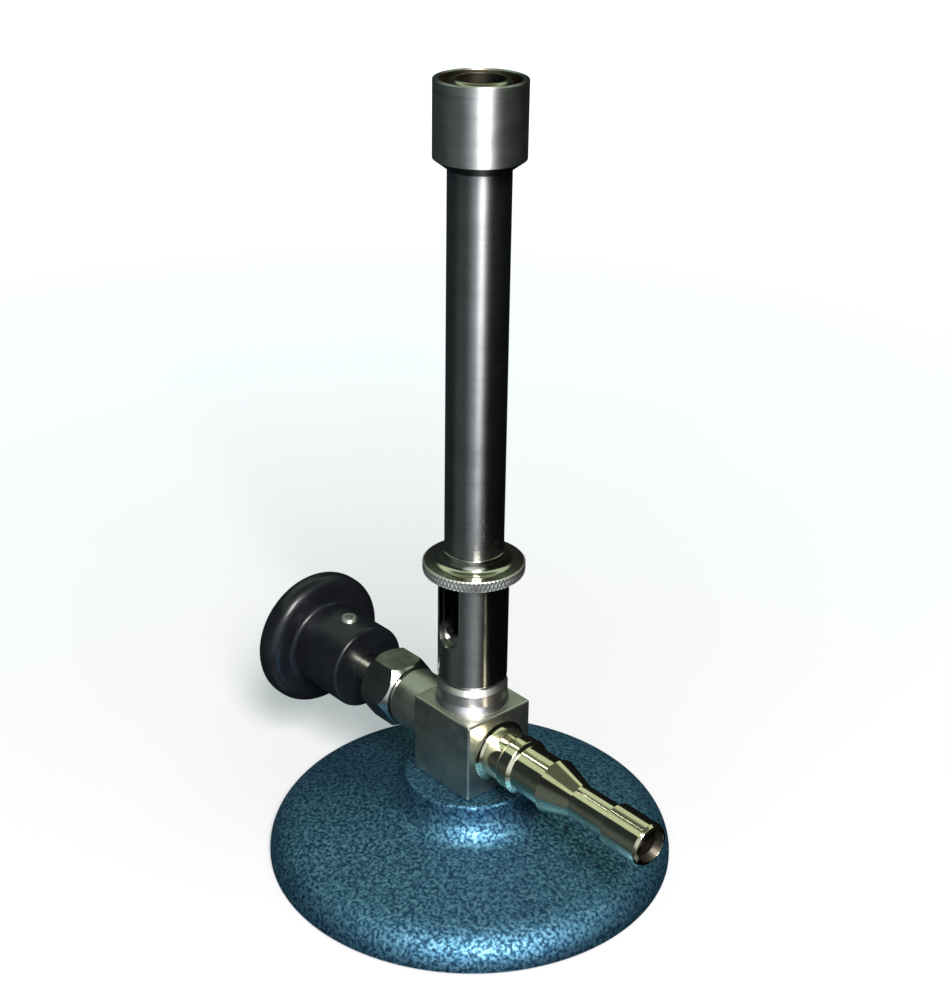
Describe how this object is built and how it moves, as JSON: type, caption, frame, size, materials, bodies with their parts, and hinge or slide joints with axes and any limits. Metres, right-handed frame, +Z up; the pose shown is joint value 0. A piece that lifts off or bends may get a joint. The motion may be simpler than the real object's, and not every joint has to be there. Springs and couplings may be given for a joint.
{
  "type": "bunsen burner",
  "caption": "Laboratory gas burner: round cast foot, square valve block with hose barb and needle valve knob, tall tube with turning air sleeve and flame cup.",
  "frame": {"origin": "centre of the foot's underside, on the axis of the burner tube", "axes": "+Z up along the burner tube, +X along the hose barb, the knob on -X"},
  "size_m": [0.1003, 0.08, 0.153],
  "materials": {
    "hammered_paint": "blue hammered enamel, semi-gloss",
    "zinc_steel": "zinc plated",
    "spring_steel": "plain spring steel",
    "satin_nickel": "satin nickel plate",
    "bright_nickel": "polished nickel plate",
    "dark_nickel": "polished dark nickel plate",
    "brushed_nickel": "turned nickel plate, fine lines around",
    "brass": "turned brass",
    "bronze": "spring bronze",
    "fibre": "red fibre gasket",
    "graphite": "graphite packing",
    "black_resin": "black phenolic, worn gloss"
  },
  "bodies": {
    "burner": {"base": "hammered_paint", "base_screw": "zinc_steel", "base_washer": "zinc_steel", "base_spring_washer": "spring_steel", "valve_body": "satin_nickel", "hose_barb": "bright_nickel", "tube_seat": "bright_nickel", "gas_jet": "brass", "jet_gasket": "fibre", "burner_tube": "dark_nickel", "flame_cup": "brushed_nickel", "sleeve_spring_ring": "bronze", "gland_packing": "graphite", "gland_washer": "brass", "gland_nut": "satin_nickel"},
    "air_sleeve": {"air_sleeve": "dark_nickel", "knurled_collar": "bright_nickel"},
    "spindle": {"needle_spindle": "brass"},
    "knob": {"knob": "black_resin", "knob_bush": "brass", "knob_grub_screw": "zinc_steel"}
  },
  "joints": [
    {"name": "air_sleeve_turn", "type": "hinge", "parent": "burner", "child": "air_sleeve", "pos_m": [0, 0, 0.062], "axis": [0, 0, 1], "range_deg": [0, 90]},
    {"name": "spindle_travel", "type": "slide", "parent": "burner", "child": "spindle", "axis": [-1, 0, 0], "range_m": [0, 0.00175]},
    {"name": "knob_turn", "type": "hinge", "parent": "spindle", "child": "knob", "pos_m": [-0.0384, 0, 0.0258], "axis": [-1, 0, 0], "range_deg": [0, 630]}
  ],
  "couplings": [
    {"joint": "knob_turn", "follows": "spindle_travel", "rad_per_m": 6283.2}
  ]
}
